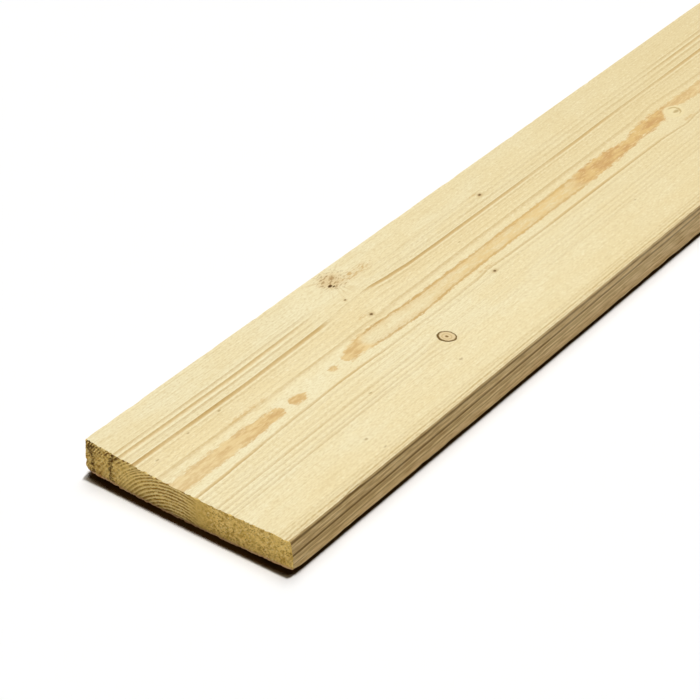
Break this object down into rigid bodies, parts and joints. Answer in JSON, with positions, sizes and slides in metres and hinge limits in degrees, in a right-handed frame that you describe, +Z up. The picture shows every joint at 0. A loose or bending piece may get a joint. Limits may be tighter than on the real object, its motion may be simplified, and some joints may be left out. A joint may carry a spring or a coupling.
{
  "type": "timber lumber plank",
  "caption": "Long flat-sawn softwood plank with a slightly cupped section, square-cut ends and one rounded-over lower arris, for nailing or screwing down as boarding.",
  "frame": {"origin": "on the crown of the underside, where the plank touches the floor, halfway along its length", "axes": "+X across the width towards the sharp-arrised edge, +Y along the grain, +Z up out of the hollow face"},
  "size_m": [0.148, 1.8, 0.0245],
  "materials": {
    "sawn_softwood": "bare pale spruce, planed matt on the faces, saw-rough on the ends"
  },
  "bodies": {
    "root": {"plank": "sawn_softwood"}
  },
  "joints": []
}
